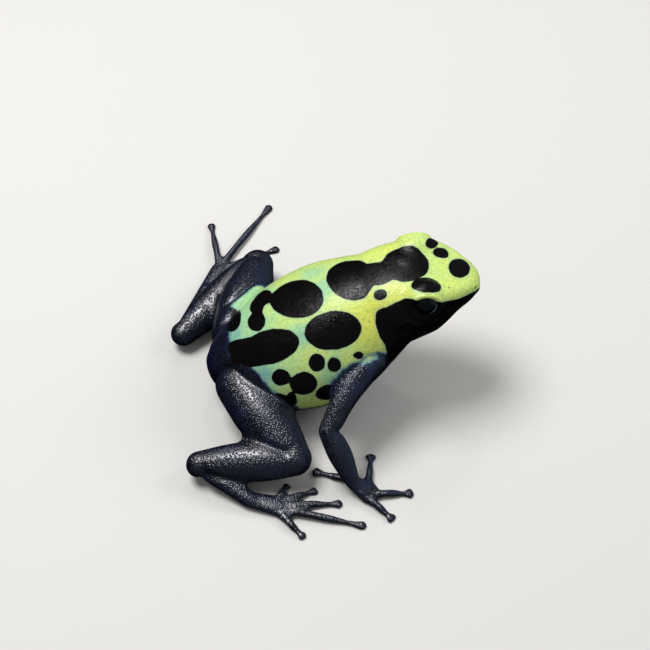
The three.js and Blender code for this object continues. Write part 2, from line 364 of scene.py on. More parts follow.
# %% [markdown]
# ## One skin over everything
# A frog's skin runs on from back to toe without a seam. The overlapping bodies could be
# joined one by one, but a voxel remesh makes their common outer surface in one step, out of
# even little squares. The surface is then swelled, remeshed and drawn in again by the same
# amount, which fills every crease at an armpit or knee with a small fillet, as skin does.

# %% Helpers for a whole mesh at a time
# The fillet grows from the one at the toes to the full one between two heights.
VOXEL = 0.26
FILLET, TOE_FILLET, FILLET_GROWS = 0.5, 0.06, (1.4, 3.4)


def step(start, end, value):
    """Zero at start and one at end, with a smooth way between them."""
    share = np.clip((value - start) / (end - start), 0, 1)
    return share * share * (3 - 2 * share)


def ridge(off, at, width, height):
    """A rounded ridge across a line, or a groove where its height is less than zero."""
    return height * np.exp(-(((off - at) / width) ** 2))


def coordinates(mesh):
    """The places of all vertices, in rows of x, y and z."""
    flat = np.empty(len(mesh.vertices) * 3)
    mesh.vertices.foreach_get("co", flat)
    return flat.reshape(-1, 3)


def normals(mesh):
    """The way out of the surface at each vertex."""
    flat = np.empty(len(mesh.vertices) * 3, np.float32)
    mesh.vertex_normals.foreach_get("vector", flat)
    return flat.reshape(-1, 3).astype(float)


def place_all(mesh, places):
    """Moves each vertex to its row of places."""
    mesh.vertices.foreach_set("co", places.ravel())
    mesh.update()


def remeshed(mesh, voxel):
    """The outer surface of overlapping bodies, as even squares of that size."""
    worked = bpy.data.objects.new("worked", mesh)
    bpy.context.scene.collection.objects.link(worked)
    modifier = worked.modifiers.new("even squares", "REMESH")
    modifier.mode = "VOXEL"
    modifier.voxel_size = voxel
    seen = worked.evaluated_get(bpy.context.evaluated_depsgraph_get())
    result = bpy.data.meshes.new_from_object(seen)
    bpy.data.objects.remove(worked)
    return result


def even_out(mesh, rounds, factor=0.5):
    """Smooths the whole surface, so many times over."""
    bm = bmesh.new()
    bm.from_mesh(mesh)
    for _ in range(rounds):
        bmesh.ops.smooth_vert(
            bm, verts=bm.verts, factor=factor, use_axis_x=True, use_axis_y=True, use_axis_z=True
        )
    bm.to_mesh(mesh)
    bm.free()


# %% The skin
body.from_mesh(new_mesh(limbs, "limbs"))
skin = remeshed(new_mesh(body, "flesh"), VOXEL)
for way in (1, -1):  # out, and back in
    places = coordinates(skin)
    amount = TOE_FILLET + (FILLET - TOE_FILLET) * step(*FILLET_GROWS, places[:, 2])
    place_all(skin, places + way * amount[:, None] * normals(skin))
    if way == 1:
        skin = remeshed(skin, VOXEL)
even_out(skin, rounds=2)
print("skin:", len(skin.vertices), "vertices")

# %% [markdown]
# ## Folds
# Where a thigh lies against the flank, or a shank against the thigh, the skin of a live frog
# dips into a fold. The fillet alone leaves a soft valley there. A second pass draws the skin
# in along the line that is equally far from both forms, in a limb only inside its bend.
# On the left hip the bright coat ends in a soft edge that stands a little proud of the dark
# skin, with a crease along it, so that line is given.

# %% How the skin folds between two forms
FOLD = {"width": 0.34, "depth": 0.42, "reach": 0.9, "around": 9.0, "inner_side": (-0.3, 1.2)}
FOLDS = [
    ("thigh", "shank", ("hip", "knee", "heel")),
    ("shank", "tarsus", ("knee", "heel", "instep")),
    ("upper_arm", "forearm", ("shoulder", "elbow", "wrist")),
]


def surface_of(*lofts):
    """The surface of some lofts on their own, to measure distances from."""
    bm = bmesh.new()
    for loft in lofts:
        add_loft(bm, loft, around=48, rings=40)
    surface = BVHTree.FromBMesh(bm)
    bm.free()
    return surface


def distances(places, surface):
    """How far each place is from a surface."""
    return np.array([surface.find_nearest(Vector(place))[3] for place in places])


def fold_shift(places, first, second, joint, inward=None):
    """How far the skin goes in along the line between two forms that meet near a joint."""
    shift = np.zeros(len(places))
    close = np.linalg.norm(places - joint, axis=1) < FOLD["around"]
    near_first, near_second = distances(places[close], first), distances(places[close], second)
    depth = 1 - step(FOLD["reach"] / 2, FOLD["reach"], np.maximum(near_first, near_second))
    if inward is not None:
        depth *= step(*FOLD["inner_side"], (places[close] - joint) @ inward)
    shift[close] = depth * ridge(near_first - near_second, 0, FOLD["width"], -FOLD["depth"])
    return shift


def joint_place(name, side):
    """Where a joint of an arm or a leg is."""
    return np.array(to_side({**ARMS[side], **LEGS[side]}[name], side))


# %% The edge of the coat on the left hip, and all the folds
HIP_LINE = {"place": [-9.2, 11.0, 8.3], "inward": [0.577, -0.682, -0.449],
            "middle": [-11.5, 7.5, 9.3], "reach": 3.6}
HIP_RIM = {"at": 0.9, "width": 0.8, "height": 0.35}
HIP_CREASE = {"at": -0.3, "width": 0.35, "height": -0.45}


def from_hip_line(places):
    """Distance from the line where the coat ends on the left hip, and how much it counts."""
    off = (places - np.array(HIP_LINE["place"])) @ np.array(HIP_LINE["inward"])
    away = np.linalg.norm(places - np.array(HIP_LINE["middle"]), axis=1)
    return off, np.exp(-((away / HIP_LINE["reach"]) ** 4))


body_surface = surface_of(trunk, skull)
places, outward = coordinates(skin), normals(skin)
off, share = from_hip_line(places)
shift = share * (ridge(off, **HIP_RIM) + ridge(off, **HIP_CREASE))
for side in SIDES:
    made = {name: surface_of(loft) for name, loft in limb_lofts[side].items()}
    for upper, lower, (before, joint, after) in FOLDS:
        at = joint_place(joint, side)
        inward = unit(sum(unit(joint_place(name, side) - at) for name in (before, after)))
        shift += fold_shift(places, made[upper], made[lower], at, inward)
    hip, shoulder = joint_place("hip", side), joint_place("shoulder", side)
    shift += fold_shift(places, body_surface, made["thigh"], hip)
    shift += fold_shift(places, body_surface, made["upper_arm"], shoulder) / 2
place_all(skin, places + outward * shift[:, None])
even_out(skin, rounds=1, factor=0.3)
print("folds, deepest", round(float(shift.min()), 2), "mm")

# %% [markdown]
# ## The face
# The squares of the remesh are too coarse for lids, lips and nostrils. A finer remesh would
# give the whole frog squares that it doesn't need, so only those round the eyes, along the
# lips and at the pits are split. The features are then moved in and out of the surface: an
# opening that dips under each eye, the line of the mouth, a nostril and an eardrum.

# %% The line of the mouth
MOUTH_CORNER, MOUTH_MIDDLE, MOUTH_TIP = (9.6, 15.6), (14.5, 16.6), (22.0, 16.9)


def mouth_height(x):
    """Height of the line of the mouth, which bends from its corner to the snout."""
    share = np.linspace(0, 1, 60)
    corner, middle, tip = map(np.array, (MOUTH_CORNER, MOUTH_MIDDLE, MOUTH_TIP))
    line = (
        np.outer((1 - share) ** 2, corner)
        + np.outer(2 * share * (1 - share), middle)
        + np.outer(share**2, tip)
    )
    return np.interp(x, line[:, 0], line[:, 1])


# %% Finer squares on the face
NOSTRIL = {"share": 0.75, "angle": 34, "radius": 0.3, "depth": 0.4}
EARDRUM = {"share": 0.31, "angle": 4, "radius": 1.15, "depth": 0.14}
FINE_ROUND_EYE, FINE_AT_LIPS = 3.3, 0.7


def pit_place(pit, side):
    """Where a nostril or an eardrum is on the head."""
    angle = pit["angle"] if side == "left" else 180 - pit["angle"]
    return skull.point(pit["share"], math.radians(angle))


def on_face(places):
    """Where the skin needs finer squares: round the eyes, along the lips and at each pit."""
    x, z = places[:, 0], places[:, 2]
    fine = (np.abs(z - mouth_height(x)) < FINE_AT_LIPS) & (x > MOUTH_CORNER[0] - 0.5)
    for side in SIDES:
        rounds = [(to_side(EYE_AT, side), FINE_ROUND_EYE)]
        rounds += [(pit_place(pit, side), 2 * pit["radius"]) for pit in (NOSTRIL, EARDRUM)]
        for middle, radius in rounds:
            fine |= np.linalg.norm(places - np.array(middle), axis=1) < radius
    return fine


def split_faces(mesh, chosen):
    """Splits the faces whose vertices are all chosen into four, and tidies those beside."""
    bm = bmesh.new()
    bm.from_mesh(mesh)
    bm.verts.ensure_lookup_table()
    edges = [edge for edge in bm.edges if all(chosen[vert.index] for vert in edge.verts)]
    bmesh.ops.subdivide_edges(bm, edges=edges, cuts=1, use_grid_fill=True, smooth=0.3)
    bmesh.ops.triangulate(bm, faces=[face for face in bm.faces if len(face.verts) > 4])
    bm.to_mesh(mesh)
    bm.free()


split_faces(skin, on_face(coordinates(skin)))
print("skin with a finer face:", len(skin.vertices), "vertices")

# %% Openings between the lids
EYE_TILT, SLIT, UNDER_EYE = math.radians(17), (2.0, 1.65), 0.3
LID_RIM, LID_EDGE = {"at": 1.12, "width": 0.09, "height": 0.1}, (0.93, 1.04)


def eye_axes(side):
    """The ways out of the eye and up across it."""
    out, up = math.cos(EYE_TILT), math.sin(EYE_TILT)
    return np.array([0, out * SIDES[side], up]), np.array([0, -up * SIDES[side], out])


def open_lids(places, side):
    """Draws the skin in under the eye, and raises a thin rim round the opening."""
    middle = np.array(to_side(EYE_AT, side))
    outward, upward = eye_axes(side)
    from_middle = places - middle
    distance = np.linalg.norm(from_middle, axis=1)
    ring = np.hypot(from_middle[:, 0] / SLIT[0], from_middle @ upward / SLIT[1])
    ring[(from_middle @ outward < 0) | (distance > 2 * EYE_RADIUS)] = np.inf
    drawn_in = 1 - step(*LID_EDGE, ring)
    reach = distance + ridge(ring, **LID_RIM)
    reach += (EYE_RADIUS - UNDER_EYE - reach) * drawn_in
    return middle + from_middle * (reach / distance)[:, None]


places = coordinates(skin)
for side in SIDES:
    places = open_lids(places, side)
furthest = np.linalg.norm(places - coordinates(skin), axis=1).max()
place_all(skin, places)
print("lids, skin drawn in by up to", round(float(furthest), 2), "mm")

# %% Mouth, nostrils and eardrums
LIPS = {"at": 0, "width": 0.5, "height": 0.16}
GROOVE = {"at": 0, "width": 0.17, "height": -0.3}
MOUTH_BEGINS = (MOUTH_CORNER[0] - 0.4, MOUTH_CORNER[0] + 1.4)
PIT_RIM, PIT_EDGE = {"at": 1.15, "width": 0.28, "height": 0.35}, (0.55, 1.1)


def mouth_shift(places):
    """How far the skin comes out at the lips and goes in at the line between them."""
    off = places[:, 2] - mouth_height(places[:, 0])
    return step(*MOUTH_BEGINS, places[:, 0]) * (ridge(off, **LIPS) + ridge(off, **GROOVE))


def pit_shift(places, pit, side):
    """A round dip with a raised rim."""
    distance = np.linalg.norm(places - pit_place(pit, side), axis=1) / pit["radius"]
    return pit["depth"] * (ridge(distance, **PIT_RIM) - 1 + step(*PIT_EDGE, distance))


places, outward = coordinates(skin), normals(skin)
shift = mouth_shift(places)
for side in SIDES:
    shift += pit_shift(places, NOSTRIL, side) + pit_shift(places, EARDRUM, side)
place_all(skin, places + outward * shift[:, None])
print("face carved, deepest", round(float(shift.min()), 2), "mm")

# %% [markdown]
# ## Standing on the floor
# A frog's soft soles, palms and belly lie flat on the ground. The hands and feet could be
# pressed flat one by one, but it is enough to bring up whatever the remesh left a trace too
# low. The surface is final now, so a search tree of it is kept for the spots.

# %% Standing on the floor
places = coordinates(skin)
print("lowest place was at", round(float(places[:, 2].min()), 2), "mm")
places[:, 2] = np.maximum(places[:, 2], 0)
place_all(skin, places)
skin_surface = BVHTree.FromPolygons(
    [Vector(place) for place in places], [list(face.vertices) for face in skin.polygons]
)

# %% [markdown]
# ## The pattern
# The frog is lime yellow with round black spots, and its legs and mask are blue-black. The
# pattern could be painted as an image, but here each vertex is told how far it lies from the
# nearest edge, in millimetres. The material turns that distance into a crisp edge, however
# close one looks. A spot is an oval lying on the skin: its centre, half length, half width,
# and the turn of its length from the forward direction. Soft humps, each a place, a radius
# and a height, push the edge of the coat out or in, and say where it is gold or mint.

# %% Spots, in groups that run together
SPOTS = [
    [[2.5, 0.3, 21.1, 3.85, 2.98, -62], [6.0, -0.3, 22.3, 2.47, 1.79, -32],
     [10.0, 0.4, 23.0, 3.13, 2.96, -7]],
    [[-4.9, -0.1, 18.2, 4.48, 2.96, -38], [-9.2, 3.0, 14.8, 2.45, 1.28, -68],
     [-10.2, 1.7, 14.6, 2.18, 1.12, -78], [-10.4, -1.1, 14.8, 1.84, 1.33, -55]],
    [[-13.7, 2.5, 10.9, 3.40, 1.70, -85]],
    [[-9.2, -5.4, 14.6, 4.77, 2.36, 3], [-12.7, -4.4, 12.2, 3.99, 2.05, -8]],
    [[-0.5, -6.3, 18.4, 3.84, 2.59, 2]],
    [[-2.9, -9.0, 15.1, 1.32, 1.12, 78]],
    [[-0.6, -9.5, 15.0, 1.11, 0.93, 89]],
    [[-7.8, -9.0, 12.3, 1.41, 1.18, 36], [-4.8, -10.2, 12.0, 2.04, 1.73, 55]],
    [[-1.2, -10.9, 10.2, 2.00, 1.80, 90]],
    [[-8.0, -10.1, 9.0, 1.16, 0.84, -4], [-6.5, -10.4, 8.7, 1.87, 0.75, 89]],
    [[2.7, -8.9, 15.8, 0.75, 0.56, -21]],
    [[6.1, -3.5, 21.7, 0.93, 0.74, -1]],
    [[12.3, -3.5, 23.3, 2.03, 1.46, -4]],
    [[17.4, 0.2, 21.4, 1.97, 1.45, 52]],
    [[15.1, 2.4, 21.9, 1.17, 0.88, 6]],
    [[14.1, 3.8, 22.7, 1.19, 0.77, 37]],
    [[-6.3, 7.9, 12.0, 2.60, 1.75, 20]],
    [[0.4, 7.9, 13.2, 2.90, 2.10, -15]],
    [[-2.4, 8.9, 9.3, 1.40, 1.15, 10]],
]
RUN_TOGETHER = 0.6
SPOT_DEPTH = 4.0


def blended(first, second, width):
    """The smaller of two distances, rounded where they are nearly alike."""
    share = np.clip(0.5 + 0.5 * (second - first) / width, 0, 1)
    return second + (first - second) * share - width * share * (1 - share)


def spot_distance(places, spot):
    """Distance from the edge of one oval on the skin, less than zero inside it."""
    *centre, half_length, half_width, turn = spot
    on_skin, outward, _, _ = skin_surface.find_nearest(Vector(centre))
    outward = np.array(outward)
    forward = unit(np.array([1.0, 0, 0]) - outward * outward[0])
    across = np.cross(outward, forward)
    turn = math.radians(turn)
    off = places - np.array(on_skin)
    u = off @ (forward * math.cos(turn) + across * math.sin(turn))
    v = off @ (across * math.cos(turn) - forward * math.sin(turn))
    rings = np.hypot(u / half_length, v / half_width)
    slope = np.hypot(u / half_length**2, v / half_width**2) + 1e-6
    flat = rings * (rings - 1) / slope
    return np.maximum(flat, np.abs(off @ outward) - SPOT_DEPTH)


places = coordinates(skin)
spots = np.full(len(places), np.inf)
for group in SPOTS:
    edge = spot_distance(places, group[0])
    for spot in group[1:]:
        edge = blended(edge, spot_distance(places, spot), RUN_TOGETHER)
    spots = np.minimum(spots, edge)
print("spots:", sum(map(len, SPOTS)), "ovals in", len(SPOTS), "groups")

# %% The dark mask
# Each row of MASK_TOP is x, the half width there and the height of the mask's upper edge.
# Each row of MASK_REAR is a height and how far forward the mask's rear edge is.
MASK_TOP = np.array([
    [5.7, 4.9, 20.6], [7.0, 5.0, 21.0], [8.2, 4.9, 21.6], [9.2, 4.8, 22.1], [10.2, 5.2, 22.6],
    [10.9, 5.4, 22.2], [11.5, 5.6, 21.9], [12.5, 5.5, 21.9], [13.8, 5.8, 22.0],
    [15.3, 5.0, 21.1], [16.8, 4.2, 20.4], [17.7, 3.6, 20.0], [18.6, 2.9, 19.6], [19.3, 2.3, 19.2],
    [20.0, 1.4, 18.8],
])
MASK_REAR = np.array([
    [13.0, 7.0], [15.3, 6.5], [16.4, 6.3], [17.5, 5.7], [18.4, 5.4], [19.2, 5.2], [21.0, 5.5],
])
MASK_LEAN, MASK_CORNER = 0.7, 1.0
FAR_MASK = {"lower": 1.5, "from": 13, "to": 11}
BELOW_MOUTH, THROAT_FADE = 3.7, 0.25


def mask_distance(places):
    """Distance from the edge of the dark mask along the side of the head."""
    x, y, z = places[:, 0], np.abs(places[:, 1]), places[:, 2]
    top_out = np.interp(x, MASK_TOP[:, 0], MASK_TOP[:, 1])
    top = np.interp(x, MASK_TOP[:, 0], MASK_TOP[:, 2])
    on_far_side = (places[:, 1] > 0) * step(FAR_MASK["from"], FAR_MASK["to"], x)
    top = top - FAR_MASK["lower"] * on_far_side
    above = (z - top - MASK_LEAN * (y - top_out)) / math.hypot(1, MASK_LEAN)
    behind = np.interp(z, MASK_REAR[:, 0], MASK_REAR[:, 1]) - x
    below = THROAT_FADE * (mouth_height(x) - BELOW_MOUTH - z)
    return np.maximum(-blended(-above, -behind, MASK_CORNER), below)


mask = mask_distance(places)
print("mask:", int((mask < 0).sum()), "vertices")

# %% How far each place is from the dark skin of the legs, rump and belly
# A row of COAT_REACH is a place, a radius and how far the coat's edge moves over the limb.
# A row of BELLY is x and the height where the dark belly ends. RUMP is x and z on the line
# where the coat ends at the rump, and RUMP_SLOPE how fast the distance grows from there.
LIMB_EDGE, SPOTS_END, HIP_SLOPE, BELLY_SLOPE = 0.35, 0.1, 2, 0.8
RUMP, RUMP_SLOPE = (-13.9, 9.0), (0.75, 0.25)
COAT_REACH = [
    [4.0, -8.6, 15.8, 2.4, 1.0], [5.0, 7.8, 14.8, 2.8, 1.2], [-14.6, 1.2, 10.4, 2.8, 1.3],
    [-14.3, 4.6, 9.3, 1.8, 0.8], [-14.2, -2.2, 11.3, 1.8, 0.8], [-11.8, -7.2, 10.8, 2.3, -1.6],
]
BELLY = np.array([[-15.0, 6.0], [-8.0, 4.6], [-2.0, 5.2], [2.0, 8.0], [5.0, 12.4], [8.0, 15.5]])


def humps(places, rows):
    """The sum of soft humps, each with its place, radius and height."""
    total = np.zeros(len(places))
    for *middle, radius, height in rows:
        away = np.linalg.norm(places - np.array(middle), axis=1)
        total += height * np.exp(-((away / radius) ** 2))
    return total


def leg_distance(places):
    """Distance from the dark skin, less than zero on it."""
    near = distances(places, limb_surface) - LIMB_EDGE + humps(places, COAT_REACH)
    off, share = from_hip_line(places)
    near += share * (HIP_SLOPE * off - near)
    x, z = places[:, 0], places[:, 2]
    rump = (x - RUMP[0]) * RUMP_SLOPE[0] + (z - RUMP[1]) * RUMP_SLOPE[1]
    belly = BELLY_SLOPE * (z - np.interp(x, BELLY[:, 0], BELLY[:, 1]))
    return np.minimum.reduce([near, rump, belly])


legs = leg_distance(places)
spots = np.minimum(np.maximum(spots, SPOTS_END - legs), mask)
print("dark skin:", int((legs < 0).sum()), "vertices")

# %% The distances are kept on the skin
def keep(mesh, name, values):
    """Keeps a number on each vertex, for the material to read."""
    attribute = mesh.attributes.new(name, "FLOAT", "POINT")
    attribute.data.foreach_set("value", values.astype(np.float32))


keep(skin, "spots", spots)
keep(skin, "legs", legs)
print("pattern kept on", len(places), "vertices")

# %% Gold and mint places in the coat
# A row is a place, a radius and an amount: gold where it is above zero, mint below.
TINTS = [
    [4.2, -6.3, 19.0, 3.0, 1.3], [5.0, -4.2, 20.9, 2.0, 0.5], [8.7, -3.8, 22.3, 2.2, 0.65],
    [7.5, 2.9, 22.3, 2.4, 0.45], [9.8, 4.6, 22.5, 2.0, 0.2], [16.0, -3.0, 21.8, 2.6, 0.15],
    [-1.9, 3.4, 18.8, 2.0, -0.7], [-1.0, -0.5, 20.0, 1.6, -1.0], [-4.5, -5.8, 17.1, 1.5, -1.1],
    [-13.4, -1.1, 12.3, 2.0, -0.8], [-13.6, 5.5, 9.8, 2.4, -0.5], [-10.0, -7.8, 11.9, 2.0, -1.1],
    [-0.9, -10.3, 13.2, 2.0, -0.8], [0.3, -8.5, 16.5, 1.8, -0.3],
]
REAR_MINT, REAR_FADE = 0.6, (-2.0, -13.0)
SMOOTH_PLACES = [[-15.6, -1.5, 9.0, 4.0, 0.7], [-14.5, 2.5, 9.0, 3.0, 0.5]]
tint = humps(places, TINTS) - REAR_MINT * step(*REAR_FADE, places[:, 0])
keep(skin, "tint", tint)
keep(skin, "grain", 1 - np.clip(humps(places, SMOOTH_PLACES), 0, 1))
print("tints from", round(float(tint.min()), 2), "to", round(float(tint.max()), 2))

# %% [markdown]
# ## Eyes
# A frog's eye is a glossy ball with a slightly raised window at the front and a dark pupil
# in a brown iris. A thin pale crescent in its lower front corner is a painted reflection.
# The eye could be one plain sphere, but then nothing would catch the light as a real eye
# does, so the window bulges, and iris and painted crescent are placed by numbers on the
# vertices.

# %% Eyeballs
WINDOW_HEIGHT, WINDOW_SHARPNESS = 0.025, 6
# The next two lines place a pale crescent in the eye's lower front corner: a painted reflection.
CRESCENT_RING = {"at": 0.77, "width": 0.06, "height": 1}
CRESCENT_LOW, CRESCENT_HIGH = (-70, -45), (22, 0)


def make_eye(side):
    """A ball with a raised window, and numbers for its iris and painted crescent reflection."""
    bm = bmesh.new()
    bmesh.ops.create_uvsphere(bm, u_segments=96, v_segments=64, radius=EYE_RADIUS)
    outward, upward = eye_axes(side)
    for vert in bm.verts:
        facing = max(vert.co.normalized().dot(Vector(outward)), 0)
        vert.co *= 1 + WINDOW_HEIGHT * facing**WINDOW_SHARPNESS
    bmesh.ops.translate(bm, verts=bm.verts, vec=to_side(EYE_AT, side))
    mesh = new_mesh(bm, f"eyeball_{side}")
    mesh.shade_smooth()
    from_middle = coordinates(mesh) - np.array(to_side(EYE_AT, side))
    facing = from_middle @ outward / np.linalg.norm(from_middle, axis=1)
    keep(mesh, "off_axis", np.degrees(np.arccos(np.clip(facing, -1, 1))))
    forward, up = from_middle[:, 0] / SLIT[0], from_middle @ upward / SLIT[1]
    turn = np.degrees(np.arctan2(up, forward))
    in_corner = step(*CRESCENT_LOW, turn) * step(*CRESCENT_HIGH, turn) * (facing > 0)
    keep(mesh, "painted_crescent", in_corner * ridge(np.hypot(forward, up), **CRESCENT_RING))
    return finish_piece(mesh, f"eyeball_{side}", [f"eye_{side}"])


eyes = [make_eye(side) for side in SIDES]
print("eyes:", [eye.name for eye in eyes])

# %% The skin takes the place of the flesh
skin.shade_smooth()
flesh_nodes = [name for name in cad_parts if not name.startswith("eye_")]
skin_piece = finish_piece(skin, "skin", flesh_nodes)
print("skin replaces", len(flesh_nodes), "nodes")

# %% [markdown]
# ## Materials
# Every colour is mixed by nodes from the distances kept on the vertices, with noise so that
# no patch is flat. Nodes could be added one by one, but the same five or six kinds come again
# and again, so a painter has a short word for each of them. The scale of a noise is the
# number of its patches in a metre.

# %% Node helpers
def linear(red, green, blue):
    """A colour given as it looks on a screen, as the light it stands for."""
    shares = [value / 255 for value in (red, green, blue)]
    return (*[s / 12.92 if s < 0.04045 else ((s + 0.055) / 1.055) ** 2.4 for s in shares], 1)


class Painter:
    """A material under construction."""

    def __init__(self, name):
        self.material = bpy.data.materials.new(name)
        self.material.use_nodes = True
        self.nodes = self.material.node_tree.nodes
        self.links = self.material.node_tree.links
        self.shader = self.nodes["Principled BSDF"]

    def node(self, kind, settings=None, inputs=None):
        """A new node, with its settings by name and its inputs by name or number."""
        made = self.nodes.new(kind)
        for name, value in (settings or {}).items():
            setattr(made, name, value)
        for key, value in (inputs or {}).items():
            self.feed(made.inputs[key], value)
        return made

    def feed(self, socket, value):
        """Links another node's output to an input, or sets the input itself."""
        if isinstance(value, bpy.types.NodeSocket):
            self.links.new(value, socket)
        else:
            socket.default_value = value

    def set(self, **values):
        """Sets inputs of the shader, with _ for each space in their names."""
        for name, value in values.items():
            self.feed(self.shader.inputs[name.replace("_", " ")], value)

    def attribute(self, name):
        """A number that the vertices keep."""
        return self.node("ShaderNodeAttribute", {"attribute_name": name}).outputs["Fac"]

    def math(self, operation, *numbers):
        made = self.node("ShaderNodeMath", {"operation": operation}, dict(enumerate(numbers)))
        return made.outputs[0]

    def total(self, number, *parts):
        """The number, plus each part times its weight."""
        for part, weight in parts:
            number = self.math("MULTIPLY_ADD", part, weight, number)
        return number

    def between(self, value, low, high, at_low=0.0, at_high=1.0):
        """Zero at low and one at high, or the values given for them, with a smooth way."""
        numbers = dict(enumerate((value, low, high, at_low, at_high)))
        made = self.node("ShaderNodeMapRange", {"interpolation_type": "SMOOTHSTEP"}, numbers)
        return made.outputs[0]

    def mix(self, share, first, second):
        """A colour at a share of the way from the first to the second."""
        inputs = {0: share, 6: first, 7: second}
        return self.node("ShaderNodeMix", {"data_type": "RGBA"}, inputs).outputs[2]

    def texture(self, kind, settings=None, **values):
        """A texture on the piece's own coordinates, with its values given by name."""
        values["Vector"] = self.node("ShaderNodeTexCoord").outputs["Object"]
        return self.node(kind, settings, values).outputs[0]

    def noise(self, scale, detail=2.0, roughness=0.5):
        return self.texture("ShaderNodeTexNoise", Scale=scale, Detail=detail, Roughness=roughness)

    def uneven(self, scale, detail=2.0, roughness=0.5):
        """Noise that goes as far below zero as above it."""
        return self.math("SUBTRACT", self.noise(scale, detail, roughness), 0.5)

    def pebbles(self, scale, smooth):
        rounded = {"feature": "SMOOTH_F1"}
        return self.texture("ShaderNodeTexVoronoi", rounded, Scale=scale, Smoothness=smooth)


# %% [markdown]
# ## The skin's finish
# The coat is lime, with gold on the neck and shoulders and mint towards the rump. Where it
# meets the legs it passes through sea blue and deep blue within a millimetre. The legs are
# covered in granules a quarter of a millimetre wide. As geometry they would need millions of
# faces, so they are a bump under a clear coat, where each wet granule catches its own glint.
# Their tops are also painted a lighter blue-grey, which is a painted glint. The black spots
# are a little smoother, and drier.

# %% Colours of the skin
LIME, GOLD = linear(188, 209, 112), linear(203, 208, 90)
MINT, TEAL = linear(148, 193, 147), linear(98, 152, 150)
OLIVE = linear(120, 150, 78)
SEA, DEEP_BLUE = linear(84, 128, 132), linear(20, 34, 64)
# On the line below, the colour for the tops of the granules is a painted glint.
NIGHT, NAVY, GRANULE_GLINT = linear(5, 7, 16), linear(9, 13, 40), linear(34, 42, 80)
SPOT_BLACK = linear(10, 8, 8)

# %% Grains of the skin
# A noise has a scale and a detail, and some have a roughness that isn't the usual half.
# Pebbles have a scale and a smoothness.
NOISE = {"edges": (900, 3), "blotches": (420, 4, 0.6), "pores": (2900, 2, 0.7),
         "speck_fields": (250, 1), "night": (260, 3), "relief": (2600, 3), "gloss": (700, 2)}
PEBBLES = {"specks": (520, 0.0), "granules": (3700, 0.3)}

# %% The bright coat
# A span says where a colour begins to show and where it shows most. For the pores and the
# rings round the spots it also says how much it shows at each end.
SPOT_WOBBLE, LEG_WOBBLE, TINT_WOBBLE = 0.3, 1.2, 1.2
GOLD_SPAN, MINT_SPAN, TEAL_SPAN = (0.0, 1.0), (0.1, -0.8), (-0.9, -1.8)
PORE_SPAN, RING_SPAN = (0.4, 0.75, 0.0, 0.6), (0.4, 0.0, 0.0, 0.3)
SPECK_SPAN, SPECK_FIELD_SPAN = (0.09, 0.06), (0.58, 0.62)

paint = Painter("frog_skin")
edge_noise, blotches = paint.uneven(*NOISE["edges"]), paint.uneven(*NOISE["blotches"])
spots_at = paint.total(paint.attribute("spots"), (edge_noise, SPOT_WOBBLE))
legs_at = paint.total(paint.attribute("legs"), (edge_noise, LEG_WOBBLE))
tint_at = paint.total(paint.attribute("tint"), (blotches, TINT_WOBBLE))

coat = paint.mix(paint.between(tint_at, *GOLD_SPAN), LIME, GOLD)
coat = paint.mix(paint.between(tint_at, *MINT_SPAN), coat, MINT)
coat = paint.mix(paint.between(tint_at, *TEAL_SPAN), coat, TEAL)
coat = paint.mix(paint.between(paint.noise(*NOISE["pores"]), *PORE_SPAN), coat, OLIVE)
coat = paint.mix(paint.between(spots_at, *RING_SPAN), coat, TEAL)
speck = paint.between(paint.pebbles(*PEBBLES["specks"]), *SPECK_SPAN)
speck_field = paint.between(paint.noise(*NOISE["speck_fields"]), *SPECK_FIELD_SPAN)
coat = paint.mix(paint.math("MULTIPLY", speck, speck_field), coat, SPOT_BLACK)
print("coat:", len(paint.nodes), "nodes")

# %% Dark skin, the blue edge between, and the spots
DARK_TO_BLUE, BLUE_TO_SEA, SEA_TO_COAT = (-0.1, 0.3), (0.2, 0.6), (0.4, 1.05)
NIGHT_TO_NAVY, GRANULE_SIDES, GRANULE_GLINT_SHARE = (0.4, 0.7), (0.6, 0.0), 0.6
SPOT_EDGE = (0.05, -0.05)

granules = paint.between(paint.pebbles(*PEBBLES["granules"]), *GRANULE_SIDES)
dark_skin = paint.mix(paint.between(paint.noise(*NOISE["night"]), *NIGHT_TO_NAVY), NIGHT, NAVY)
# The granule tops are lightened towards a blue-grey here: a painted glint.
dark_skin = paint.mix(paint.math("MULTIPLY", granules, GRANULE_GLINT_SHARE), dark_skin, GRANULE_GLINT)
colour = paint.mix(paint.between(legs_at, *SEA_TO_COAT), SEA, coat)
colour = paint.mix(paint.between(legs_at, *BLUE_TO_SEA), DEEP_BLUE, colour)
colour = paint.mix(paint.between(legs_at, *DARK_TO_BLUE), dark_skin, colour)
is_spot = paint.between(spots_at, *SPOT_EDGE)
colour = paint.mix(is_spot, colour, SPOT_BLACK)
print("with the dark skin:", len(paint.nodes), "nodes")

# %% Relief, gloss and wetness
# GRAIN and WET say what a spot has, what all other skin adds to it, and what a leg adds again.
GRANULE_HEIGHT, RELIEF = 0.06 * MILLIMETRE, 0.3
GRAIN = {"spot": 0.4, "other": -0.1, "leg": 0.7}
WET = {"spot": 0.0, "other": 0.2, "leg": 0.8}
LEG_BEGINS, ROUGH_SPAN, SPOT_SMOOTHER = (1.0, 0.0), (0.3, 0.7, 0.3, 0.4), -0.08

